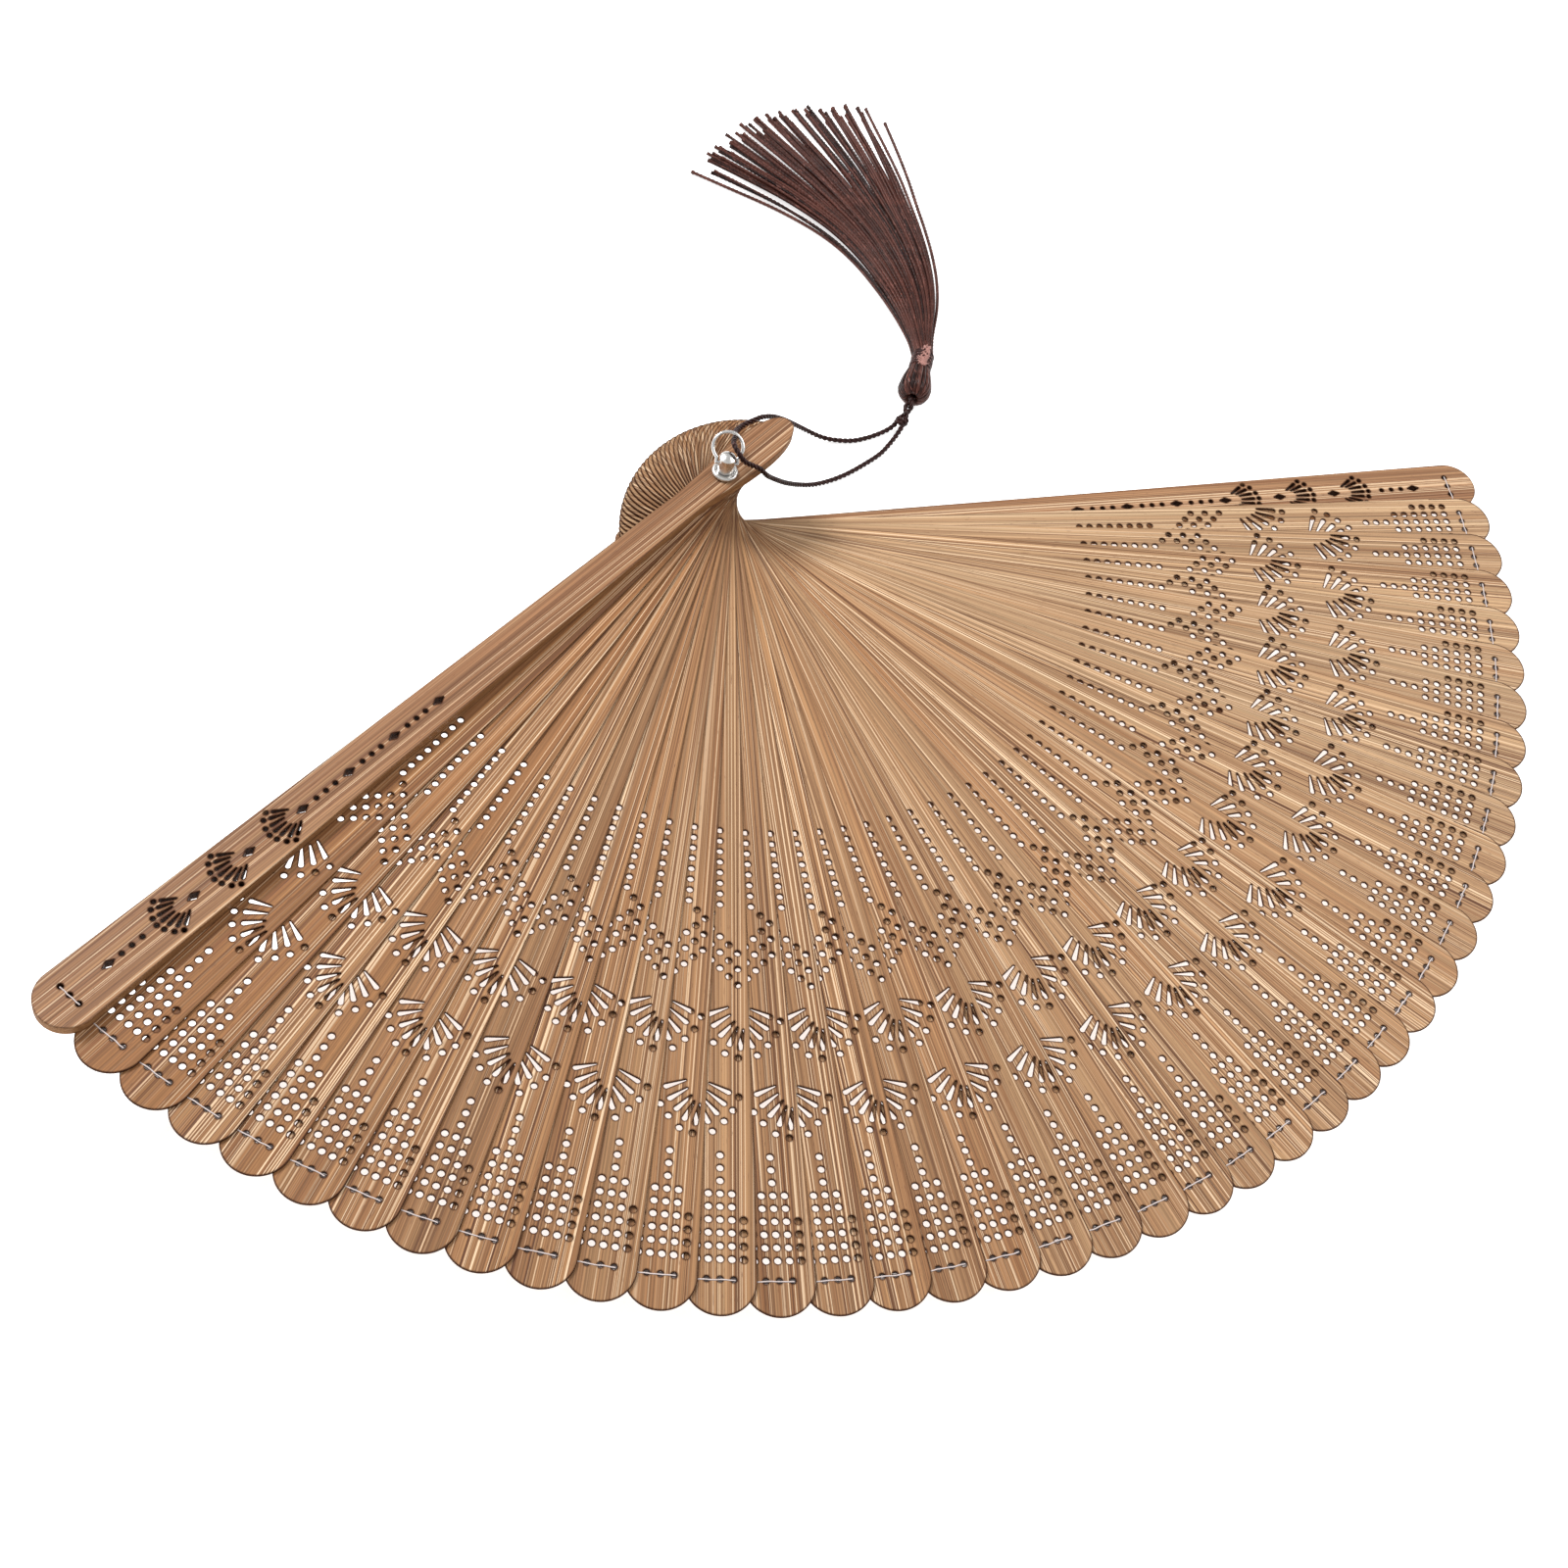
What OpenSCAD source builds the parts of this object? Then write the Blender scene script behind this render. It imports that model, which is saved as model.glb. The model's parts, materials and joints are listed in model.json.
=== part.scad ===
// Sandalwood folding fan, open: forty pierced leaves between two guards on one rivet,
// with a wire ring and a cord tassel. The pivot stands on the origin along +Z, and the
// lower guard lies along +X with its underside at z = 0.

/* [Sticks] */
// Distance from the pivot to the tips of the leaves
reach = 207; // [200:1:212]
// Distance from the pivot to the end of each leaf's head
head_reach = 23; // [21:0.5:24]
// Thickness of one leaf
leaf_t = 0.49; // [0.45:0.01:0.5]
// Running gap between neighbouring sticks
stick_gap = 0.04; // [0.02:0.01:0.06]
// Thickness of each guard
guard_t = 2.6; // [2:0.1:3]
// Width of a leaf near its tip
leaf_tip_w = 15; // [14.5:0.1:15.5]
// Width of a guard near its tip
guard_tip_w = 14; // [13.6:0.1:14.6]
// Width of every stick just above its head
neck_w = 6.8; // [6.6:0.1:7.4]
// Width of a leaf's head
head_w = 9.6; // [9:0.1:10]
// Width of a guard's head
guard_head_w = 10; // [9.4:0.1:10.4]

/* [Opening] */
// Angle from the lower guard to the upper guard
open_angle = 142.3; // [130:0.1:144]

/* [Piercing] */
// Diameter of the dots in a leaf's tip block
block_dot_d = 1.5; // [1.4:0.05:1.6]
// Diameter of the other dots in a leaf
small_dot_d = 1.4; // [1.2:0.05:1.5]
// Diameter of the dots in the guards
guard_dot_d = 1.15; // [1:0.05:1.3]
// Distance between the thread holes across a stick
thread_pitch = 2.75; // [2.6:0.05:2.95]
// Diameter of the thread holes
thread_hole_d = 1.3; // [1.2:0.05:1.4]

/* [Rivet] */
// Diameter of the rivet's shank
shank_d = 3; // [2.8:0.1:3.2]
// Running clearance of each stick on the shank, on the radius
shank_clearance = 0.05; // [0.03:0.01:0.08]
// Diameter of the post above the upper guard
post_d = 3.8; // [3.6:0.1:4]
// Height of the post above the upper guard
post_h = 6.2; // [5.8:0.1:6.5]
// Diameter of the tassel ring's wire
ring_wire_d = 0.8; // [0.7:0.05:0.9]

/* [Tassel] */
// Diameter of the tassel's cord
cord_d = 1.3; // [1.1:0.1:1.4]
// Greatest diameter of the tassel's head
tassel_head_d = 8.4; // [8:0.1:8.8]

/* [Hidden] */
LEAF_COUNT = 40;
LEAVES = [for (k = [1:LEAF_COUNT]) str("leaf_", k < 10 ? "0" : "", k)];

step_angle = open_angle / (LEAF_COUNT + 1);
leaf_pitch = leaf_t + stick_gap;
front_z = guard_t + stick_gap + LEAF_COUNT * leaf_pitch;
top_z = front_z + guard_t;
over = 1;               // how far a cutter passes beyond the faces that it cuts
leaf_colour = "burlywood";
guard_colour = "peru";
metal_colour = "silver";
silk_colour = "saddlebrown";

// Stick outline: an oval head, a neck, a straight taper and a round tip
head_mid = -10;         // place of the head's widest point, from the pivot
neck_end = 14;          // where the neck ends and the taper begins
outline_steps = 20;     // points along each curve of the outline
guard_head_more = 1;    // how far a guard's head reaches beyond the leaves' heads
guard_head_blunt = 1.15; // how bluntly a guard's head ends: 1 is an ellipse

// Leaf pattern, as distances from the pivot
thread_x = 199.4;
block_x = 195.1;        // outermost row of the tip block
block_pitch = [2.82, 2.4];
block_rows = [9, 6, 4]; // dots in the middle column and in those to each side
outer_shell_x = 156.4;
inner_shell_x = 138.4;
// Where each slit of half a shell starts, across and along, and which way it points
shell_slits = [[0, 2.5, 67], [1.8, 2.1, 54], [3.4, 1.2, 43], [4.7, 0.6, 25], [5.2, -0.6, 11]];
slit_l = 5;
slit_dot_l = 6.8;       // from the start of a slit to the dot beyond its end
slit_w = [0.35, 1.15];
band_x = 115.6;         // inner end of the zigzag band
band_pitch = [1.93, 1.9];
// First place, last place, on each column of the band, from one edge to the other
band_columns = [[1, 5], [0, 6], [3, 7], [4, 8], [5, 9]];
row_x = 113.4;          // outermost dot of the single row
row_pitch = 2.68;
row_dots = 8;

// Guard pattern, as distances from the pivot
guard_shell_x = [138.5, 153.9, 169.5];
guard_slits = [[0, 2, 34], [1.2, 1.75, 22.4], [2, 1.1, 7.7], [2.4, 0, 0]];
guard_slit_l = 3.6;
guard_slit_dot_l = 4.7;
guard_slit_w = [0.35, 0.8];
guard_diamond_x = [95.7, 109.2, 122.7, 136.2, 151.4, 166.7, 189.4];
diamond = [3.4, 1.8];
guard_dot_start = [95.7, 109.2, 122.7, 176.4]; // each run of three dots starts after this
guard_dot_offset = 4;
guard_dot_pitch = 2.75;

// Rivet
washer_d = 6.3;
washer_h = 1;
tail_washer_h = 0.7;
tail_recess = [6.9, 0.9]; // diameter and depth of the pocket under the lower guard
eye_h = 3.5;            // height of the ring's axis above the upper guard
eye_clearance = 0.05;   // on the radius
dome_h = 0.6;

// Tassel ring: a wire circle whose two ends turn in to the post
ring_yaw = -12;
ring_tilt = 31;
ring_r = 3.6;
ring_mid = 3.85;        // from the ring's axis to the middle of its circle
ring_leg_x = 2.5;       // from the post's middle to each leg
ring_tail_x = 1;        // where each end stops inside the post
ring_bend_d = ring_wire_d + 0.06; // the wire swells a little where it is bent

// Cord: round points by hand, from the tassel's head, through the ring and back
cord_route = [
    [59.6, 38.7, 4.4], [58.7, 37.2, 3.8], [57.2, 35.0, 2.7], [55.6, 32.9, 1.8], [53.4, 31.2, 1.1],
    [50.2, 29.8, 0.8], [46.6, 28.6, 0.8], [42.6, 27.9, 0.8], [38.2, 28.3, 0.9], [34.1, 29.1, 1.6],
    [29.7, 29.1, 4.6], [25.2, 27.3, 9.6], [20.8, 24.1, 15.6], [16.7, 21.0, 20.6], [13.2, 18.5, 23.6],
    [10.5, 16.8, 24.6], [8.2, 15.5, 25.0], [6.2, 13.5, 26.0], [4.4, 10.5, 28.2], [3.6, 7.6, 30.5],
    [2.4, 5.0, 32.3], [1.9, 2.6, 33.4], [2.5, 0.2, 33.2], [3.9, -1.1, 31.6], [6.0, -0.8, 29.6],
    [8.2, -0.6, 27.9], [10.3, -0.1, 24.9], [12.2, 2.0, 21.2], [14.9, 4.1, 17.2], [18.7, 7.0, 12.0],
    [23.1, 10.0, 7.1], [28.0, 12.6, 3.3], [33.1, 15.0, 1.2], [38.4, 17.2, 0.8], [43.4, 19.8, 0.8],
    [48.6, 23.0, 0.8], [52.0, 26.2, 0.8], [54.8, 29.2, 1.1], [57.0, 32.0, 1.8], [58.6, 34.2, 2.7],
    [59.9, 36.4, 3.8], [60.9, 38.1, 4.4]];
cord_sides = 8;
rings_per_point = 2;

// Tassel, lying on its side: its axis runs from the crown of its head to its binding
crown = [60.0, 37.9, 4.6];
tassel_yaw = 66;
tassel_dip = 4;
head_l = 10.5;
head_widest = 0.37;     // where the head is widest, as a part of its length
binding_l = 5.9;
binding_d = 5.8;
head_fullness = 0.45;   // how bluntly the head swells: 1 is round, and less is fuller
knot_at = [56.3, 32.4, 1.9];
knot_yaw = 56;
knot_rise = 24;
knot_size = [3.6, 3.2]; // length and diameter
// Skirt: stations along its middle, with half its width and its height at each
skirt_route = [
    [66.6, 52.8, 2.6, 4.4], [67.6, 60.5, 3.6, 4.5], [68.4, 69.0, 6.2, 4.4], [68.2, 79.0, 8.7, 4.0],
    [67.0, 89.0, 10.9, 3.6], [64.0, 99.0, 14.3, 3.2], [59.0, 110.0, 19.5, 2.8],
    [53.0, 122.5, 26.0, 2.4], [47.0, 135.5, 31.5, 2.0]];
skirt_turn = [68, 84, 89, 93, 98, 103, 107, 110, 110]; // heading of each station
skirt_foot = 0.2;       // height of the skirt's underside above the ground
skirt_start_foot = 0.7; // and where it leaves the binding

function leaf_z(k) = guard_t + stick_gap + (k - 1) * leaf_pitch;
function unit(v) = v / norm(v);
function polar(a) = [cos(a), sin(a)];
function mirrored(points) = [for (i = [len(points) - 1:-1:0]) [points[i].x, -points[i].y]];
function catmull(a, b, c, d, t) =
    (2 * b + (c - a) * t + (2 * a - 5 * b + 4 * c - d) * t * t + (3 * b - a - 3 * c + d) * t * t * t) / 2;

// One side of a stick's outline, from the end of its head to its tip; head is how far
// its head reaches, its width and its bluntness
function stick_side(tip_w, head) = let (tip_r = tip_w / 2, neck_r = neck_w / 2, head_r = head[1] / 2) concat(
    [for (i = [0:outline_steps]) let (a = 90 * i / outline_steps)
        [head_mid - (head[0] + head_mid) * pow(cos(a), 1 / head[2]), head_r * pow(sin(a), 1 / head[2])]],
    [for (i = [1:outline_steps]) let (f = i / outline_steps)
        [head_mid + (neck_end - head_mid) * f, neck_r + (head_r - neck_r) * (1 + cos(180 * f)) / 2]],
    [for (i = [0:outline_steps]) let (a = 90 - 90 * i / outline_steps)
        [reach - tip_r, 0] + tip_r * polar(a)]);

module stick_outline(tip_w, head) {
    side = stick_side(tip_w, head);
    polygon(concat(side, mirrored(side)));
}

module dot(x, y, d) {
    translate([x, y]) circle(d = d, $fn = 24);
}

// A slit that widens along +X to a round end, with both ends as given widths
module slit(length, widths) {
    small = widths[0] / 2;
    large = widths[1] / 2;
    polygon([[0, -small], [length - large, -large], [length - large, large], [0, small]]);
    dot(0, 0, widths[0]);
    dot(length - large, 0, widths[1]);
}

// Half of a leaf's shell: slits and dots that fan out from the line between two leaves
module half_shell(x) {
    rotate(step_angle / 2)
        translate([x, 0])
            for (s = shell_slits) {
                translate([s[0], -s[1]]) rotate(-s[2]) {
                    slit(slit_l, slit_w);
                    dot(slit_dot_l, 0, small_dot_d);
                }
            }
}

module tip_block() {
    for (column = [-2:2])
        for (i = [0:block_rows[abs(column)] - 1])
            dot(block_x - i * block_pitch.x, column * block_pitch.y, block_dot_d);
}

module zigzag_band() {
    for (column = [0:4])
        for (place = [band_columns[column][0]:2:band_columns[column][1]])
            dot(band_x + place * band_pitch.x, (2 - column) * band_pitch.y, small_dot_d);
}

module thread_holes(d) {
    for (i = [-1:1]) dot(thread_x, i * thread_pitch, d);
}

// Everything that is pierced through one leaf
module leaf_pattern() {
    thread_holes(thread_hole_d);
    tip_block();
    half_shell(outer_shell_x);
    mirror([0, 1]) half_shell(inner_shell_x);
    zigzag_band();
    for (i = [0:row_dots - 1]) dot(row_x - i * row_pitch, 0, small_dot_d);
}

module guard_shell(x) {
    for (side = [0, 1])
        mirror([0, side])
            for (s = guard_slits)
                translate([x + s[0], s[1]]) rotate(s[2]) {
                    slit(guard_slit_l, guard_slit_w);
                    dot(guard_slit_dot_l, 0, guard_dot_d);
                }
}

// Everything that is pierced through one guard
module guard_pattern() {
    thread_holes(thread_hole_d);
    for (x = guard_shell_x) guard_shell(x);
    for (x = guard_diamond_x)
        translate([x, 0])
            polygon([[-diamond.x / 2, 0], [0, -diamond.y / 2], [diamond.x / 2, 0], [0, diamond.y / 2]]);
    for (x = guard_dot_start)
        for (i = [0:2]) dot(x + guard_dot_offset + i * guard_dot_pitch, 0, guard_dot_d);
}

module shank_bore(t, radius) {
    translate([0, 0, -over]) cylinder(r = radius, h = t + 2 * over, $fn = 64);
}

// Leaf k counts up from the lower guard; odd leaves carry the mirrored pattern
module leaf(k) {
    color(leaf_colour)
    rotate(-k * step_angle)
        translate([0, 0, leaf_z(k)])
            difference() {
                linear_extrude(leaf_t)
                    difference() {
                        stick_outline(leaf_tip_w, [head_reach, head_w, 1]);
                        mirror([0, k % 2]) leaf_pattern();
                    }
                shank_bore(leaf_t, shank_d / 2 + shank_clearance);
            }
}

module guard(bore_r) {
    difference() {
        linear_extrude(guard_t)
            difference() {
                stick_outline(guard_tip_w, [head_reach + guard_head_more, guard_head_w, guard_head_blunt]);
                guard_pattern();
            }
        shank_bore(guard_t, bore_r);
    }
}

module front_guard() {
    color(guard_colour)
    rotate(-open_angle)
        translate([0, 0, front_z])
            guard(shank_d / 2);
}

module back_guard() {
    color(guard_colour)
    difference() {
        guard(shank_d / 2 + shank_clearance);
        translate([0, 0, -over])
            cylinder(d = tail_recess[0], h = tail_recess[1] + over, $fn = 64);
    }
}

// Shank, and the domed post with its cross hole above the upper guard
module pivot_pin() {
    dome_r = (pow(post_d / 2, 2) + pow(dome_h, 2)) / (2 * dome_h);
    color(metal_colour)
    difference() {
        union() {
            cylinder(d = shank_d, h = top_z, $fn = 64);
            translate([0, 0, top_z]) cylinder(d = post_d, h = post_h - dome_h, $fn = 64);
            translate([0, 0, top_z + post_h - dome_h])
                rotate_extrude($fn = 64)
                    intersection() {
                        translate([0, dome_h - dome_r]) circle(r = dome_r, $fn = 96);
                        square([post_d / 2, dome_h]);
                    }
        }
        translate([0, 0, top_z + eye_h])
            rotate([0, 90, ring_yaw])
                cylinder(r = ring_wire_d / 2 + eye_clearance, h = 2 * post_d, center = true, $fn = 48);
    }
}

module top_washer() {
    color(metal_colour)
    translate([0, 0, top_z])
        rotate_extrude($fn = 64)
            union() {
                translate([post_d / 2, 0]) square([(washer_d - post_d) / 2 - washer_h / 2, washer_h]);
                translate([washer_d / 2 - washer_h / 2, washer_h / 2]) circle(d = washer_h, $fn = 32);
            }
}

module tail_washer() {
    color(metal_colour)
    difference() {
        cylinder(d = washer_d, h = tail_washer_h, $fn = 64);
        shank_bore(tail_washer_h, shank_d / 2);
    }
}

// Wire ring, drawn with its axis along X and its circle standing in the XZ plane
module wire_ring() {
    half_gap = acos(ring_leg_x / ring_r);
    leg_h = ring_mid - ring_r * sin(half_gap);
    translate([0, 0, ring_mid])
        rotate([90, 0, 0])
            rotate(-half_gap)
                rotate_extrude(angle = 180 + 2 * half_gap, $fn = 96)
                    translate([ring_r, 0]) circle(d = ring_wire_d, $fn = 24);
    for (side = [-1, 1]) {
        translate([side * ring_leg_x, 0, 0]) cylinder(d = ring_wire_d, h = leg_h, $fn = 24);
        for (z = [0, leg_h]) translate([side * ring_leg_x, 0, z]) sphere(d = ring_bend_d, $fn = 32);
        rotate([0, side * 90, 0])
            translate([0, 0, ring_tail_x])
                cylinder(d = ring_wire_d, h = ring_leg_x - ring_tail_x, $fn = 24);
    }
}

module tassel_ring() {
    color(metal_colour)
    translate([0, 0, top_z + eye_h])
        rotate([0, 0, ring_yaw])
            rotate([-(90 - ring_tilt), 0, 0])
                wire_ring();
}

// Points along the cord: its route's own points with smooth curves between them
function route_point(i) = cord_route[max(0, min(len(cord_route) - 1, i))];
cord_path = concat(
    [for (i = [0:len(cord_route) - 2])
        for (j = [0:rings_per_point - 1])
            catmull(route_point(i - 1), route_point(i), route_point(i + 1), route_point(i + 2),
                    j / rings_per_point)],
    [cord_route[len(cord_route) - 1]]);
function path_heading(i) =
    unit(cord_path[min(len(cord_path) - 1, i + 1)] - cord_path[max(0, i - 1)]);
// Sideways direction of each ring of the tube, carried along so that the tube never twists
function carried(side, heading) = unit(side - (side * heading) * heading);
function sides_to(i) = i == 0
    ? [carried([0, 0, 1], path_heading(0))]
    : let (before = sides_to(i - 1)) concat(before, [carried(before[i - 1], path_heading(i))]);

module tassel_cord() {
    rings = len(cord_path);
    sides = sides_to(rings - 1);
    points = [for (i = [0:rings - 1])
        for (j = [0:cord_sides - 1])
            let (a = 360 * j / cord_sides, up = sides[i], across = cross(path_heading(i), up))
            cord_path[i] + cord_d / 2 * (cos(a) * up + sin(a) * across)];
    walls = [for (i = [0:rings - 2])
        for (j = [0:cord_sides - 1])
            let (a = i * cord_sides + j, b = i * cord_sides + (j + 1) % cord_sides)
            [a, a + cord_sides, b + cord_sides, b]];
    ends = [[for (j = [0:cord_sides - 1]) j],
            [for (j = [cord_sides - 1:-1:0]) (rings - 1) * cord_sides + j]];
    color(silk_colour) polyhedron(points, concat(walls, ends));
}

module cord_knot() {
    color(silk_colour)
    translate(knot_at)
        rotate([0, 90 - knot_rise, knot_yaw])
            rotate_extrude($fn = 48)
                polygon([for (i = [0:outline_steps]) let (a = 90 - 180 * i / outline_steps)
                    [knot_size[1] / 2 * cos(a), knot_size[0] / 2 * sin(a)]]);
}

// The tassel's axis, as a frame whose +Z runs from the crown to the binding
module along_tassel() {
    translate(crown) rotate([0, 90 + tassel_dip, tassel_yaw]) children();
}

// Radius of the tassel's head at a distance from its crown, as a part of its length
function head_radius(f) = let (swell = tassel_head_d / 2 - head_widest * binding_d / 2)
    binding_d / 2 * f
    + swell * pow(abs(sin(180 * pow(f, ln(0.5) / ln(head_widest)))), head_fullness);

module tassel_head() {
    color(silk_colour)
    along_tassel()
        rotate_extrude($fn = 48)
            polygon(concat(
                [[0, 0]],
                [for (i = [1:outline_steps]) let (f = i / outline_steps) [head_radius(f), head_l * f]],
                [[0, head_l]]));
}

module tassel_binding() {
    color(silk_colour)
    along_tassel()
        translate([0, 0, head_l]) cylinder(d = binding_d, h = binding_l, $fn = 48);
}

// Skirt of threads as one flat body, which is widest and thinnest at its open end
module tassel_skirt() {
    stations = len(skirt_route);
    points = [for (i = [0:stations - 1])
        let (s = skirt_route[i],
             across = s[2] * polar(skirt_turn[i] - 90),
             foot = i == 0 ? skirt_start_foot : skirt_foot)
        for (corner = [[-1, 0], [1, 0], [1, 1], [-1, 1]])
            [s.x + corner.x * across.x, s.y + corner.x * across.y, foot + corner.y * s[3]]];
    walls = [for (i = [0:stations - 2])
        for (j = [0:3])
            let (a = 4 * i + j, b = 4 * i + (j + 1) % 4)
            [a, a + 4, b + 4, b]];
    last = 4 * (stations - 1);
    ends = [[0, 1, 2, 3], [last + 3, last + 2, last + 1, last]];
    color(silk_colour) polyhedron(points, concat(walls, ends));
}

front_guard();
back_guard();
for (k = [1:LEAF_COUNT])
    leaf(k);
pivot_pin();
top_washer();
tail_washer();
tassel_ring();
tassel_cord();
cord_knot();
tassel_head();
tassel_binding();
tassel_skirt();
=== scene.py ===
"""Looks of an open pierced bamboo fan with a cord tassel, built around its CAD frame.

Sizes are in metres, or in millimetres times MM. The pivot stands on the origin along +Z,
the lower guard lies along +X, and leaf k is turned by -k steps about the pivot.
"""
import json
import math
import random

import bpy
import numpy as np
from mathutils import Matrix, Quaternion, Vector


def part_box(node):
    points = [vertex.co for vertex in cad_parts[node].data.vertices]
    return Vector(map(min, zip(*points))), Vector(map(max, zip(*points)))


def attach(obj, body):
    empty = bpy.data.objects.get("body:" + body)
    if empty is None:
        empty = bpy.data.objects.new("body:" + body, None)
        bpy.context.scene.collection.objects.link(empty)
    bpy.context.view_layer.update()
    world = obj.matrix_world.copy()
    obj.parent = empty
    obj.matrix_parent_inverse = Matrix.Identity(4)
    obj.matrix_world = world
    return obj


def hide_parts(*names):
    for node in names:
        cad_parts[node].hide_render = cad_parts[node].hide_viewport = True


MM = 0.001
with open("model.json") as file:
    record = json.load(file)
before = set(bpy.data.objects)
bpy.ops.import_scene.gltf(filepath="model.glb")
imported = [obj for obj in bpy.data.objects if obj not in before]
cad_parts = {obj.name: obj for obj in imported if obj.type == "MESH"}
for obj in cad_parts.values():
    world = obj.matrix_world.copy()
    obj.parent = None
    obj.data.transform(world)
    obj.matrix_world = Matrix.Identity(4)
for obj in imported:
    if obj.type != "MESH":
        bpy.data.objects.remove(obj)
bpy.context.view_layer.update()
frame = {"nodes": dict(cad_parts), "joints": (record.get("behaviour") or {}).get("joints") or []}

JOINTS = {joint["name"]: joint for joint in frame["joints"]}
OPEN_ANGLE = math.radians(JOINTS["fan_closing"]["range_deg"][1])
LEAVES = sorted(name for name in frame["nodes"] if name.startswith("leaf_"))
STEP_ANGLE = OPEN_ANGLE / (len(LEAVES) + 1)

# Camera: where it stands, the point on the floor that it looks at, and how it is tilted
CAMERA_AT = Vector((-0.1365, -0.3712, 0.5001))
CAMERA_AIM = Vector((0.0043, -0.0718, 0.0))
CAMERA_ROLL = math.radians(16.35)
CAMERA_LENS = 59.02
FAN_MIDDLE = Vector((0.06, -0.06, 0.0))  # what the lights face

# Cord: the same route as in the CAD source, in millimetres
CORD_ROUTE = [
    (59.6, 38.7, 4.4), (58.7, 37.2, 3.8), (57.2, 35.0, 2.7), (55.6, 32.9, 1.8), (53.4, 31.2, 1.1),
    (50.2, 29.8, 0.8), (46.6, 28.6, 0.8), (42.6, 27.9, 0.8), (38.2, 28.3, 0.9), (34.1, 29.1, 1.6),
    (29.7, 29.1, 4.6), (25.2, 27.3, 9.6), (20.8, 24.1, 15.6), (16.7, 21.0, 20.6), (13.2, 18.5, 23.6),
    (10.5, 16.8, 24.6), (8.2, 15.5, 25.0), (6.2, 13.5, 26.0), (4.4, 10.5, 28.2), (3.6, 7.6, 30.5),
    (2.4, 5.0, 32.3), (1.9, 2.6, 33.4), (2.5, 0.2, 33.2), (3.9, -1.1, 31.6), (6.0, -0.8, 29.6),
    (8.2, -0.6, 27.9), (10.3, -0.1, 24.9), (12.2, 2.0, 21.2), (14.9, 4.1, 17.2), (18.7, 7.0, 12.0),
    (23.1, 10.0, 7.1), (28.0, 12.6, 3.3), (33.1, 15.0, 1.2), (38.4, 17.2, 0.8), (43.4, 19.8, 0.8),
    (48.6, 23.0, 0.8), (52.0, 26.2, 0.8), (54.8, 29.2, 1.1), (57.0, 32.0, 1.8), (58.6, 34.2, 2.7),
    (59.9, 36.4, 3.8), (60.9, 38.1, 4.4),
]
CORD_D = 1.3 * MM
CORD_PITCH = 2.7 * MM
# Each of a rope's two plies: how far from the middle it lies and its radius, as parts of the rope's width
PLY_OUT = 0.215
PLY_R = 0.31
TWIST_REACH = 7.0 * MM  # the stretch below the crown where both ends are wound together
TWIST_TURNS = 0.95

# How far the scorched rims of the piercing reach across the face
SCORCH_W = 0.46 * MM

# Bamboo: the tones from dark to light, the colours of its lines and pores, and those of its burns
LEAF_TONES = ((0.29, 0.133, 0.055), (0.39, 0.208, 0.099), (0.495, 0.284, 0.14))
GUARD_TONES = ((0.185, 0.076, 0.031), (0.31, 0.149, 0.069), (0.44, 0.246, 0.125))
DARK_LINE = (0.11, 0.04, 0.017)
PALE_LINE = (0.86, 0.62, 0.4)
PORE = (0.13, 0.05, 0.025)
SCORCH = (0.055, 0.019, 0.009)
BURNT_WALL = ((0.03, 0.012, 0.007), (0.105, 0.043, 0.02))
SAWN_WALL = ((0.1, 0.043, 0.02), (0.26, 0.13, 0.06))
SANDED_WALL = ((0.2, 0.09, 0.035), (0.38, 0.2, 0.09))

# A stick's outline: how wide its edge strip is, and where its head and its tip begin
EDGE_STRIP = 0.9 * MM
HEAD_FROM = -5 * MM
TIP_MARGIN = 2 * MM

# Guards and leaves: two places along each and half its width there, as it tapers between them
GUARD_TAPER = [(14 * MM, 3.4 * MM), (200 * MM, 7.0 * MM)]
LEAF_TAPER = [(14 * MM, 3.4 * MM), (190 * MM, 7.27 * MM)]

# Tassel: its crown, the heading and dip of its axis, and the sizes along it
CROWN = Vector((60.0, 37.9, 4.6)) * MM
TASSEL_YAW = math.radians(66)
TASSEL_DIP = math.radians(4)
HEAD_L = 10.5 * MM
# How wide the head is, from its crown at 0 to its binding at 1
HEAD_PROFILE = [
    (0.0, 2.5 * MM), (0.06, 3.3 * MM), (0.16, 3.95 * MM), (0.3, 4.2 * MM), (0.5, 4.0 * MM),
    (0.75, 3.5 * MM), (1.0, 2.95 * MM),
]
BINDING_L = 5.9 * MM
BINDING_R = 2.9 * MM
KNOT_AT = Vector((56.3, 32.4, 1.9)) * MM
KNOT_YAW = math.radians(56)
KNOT_RISE = math.radians(24)

# Skirt: the curves that its outermost strands follow on the floor, in millimetres
SKIRT_LEFT = [
    (63.7, 53.0), (63.7, 58.6), (62.1, 69.0), (59.6, 78.9), (55.8, 88.7), (49.3, 98.6),
    (39.4, 108.4), (27.6, 117.3), (16.3, 125.2),
]
SKIRT_RIGHT = [
    (68.7, 51.0), (70.5, 58.4), (74.4, 69.0), (76.9, 78.9), (78.1, 88.7), (78.3, 98.6),
    (78.0, 108.4), (77.7, 118.3), (77.0, 128.0), (76.1, 138.0), (75.4, 145.9),
]
STRAND_D = 1.07 * MM
STRANDS_IN_LOCKS = 92

# Joining thread: the middle hole's place along a stick, the holes' pitch, the thread's width, and how
# thick the pressed stretch on top of a stick is
THREAD_X = 199.4 * MM
THREAD_PITCH = 2.75 * MM
THREAD_W = 0.34 * MM
THREAD_THIN = 0.03 * MM
THREAD_HOLE_R = 0.63  # in millimetres, a little less than the CAD hole's, so the tangle stays inside


# ---- Points, curves and tubes ----

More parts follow.
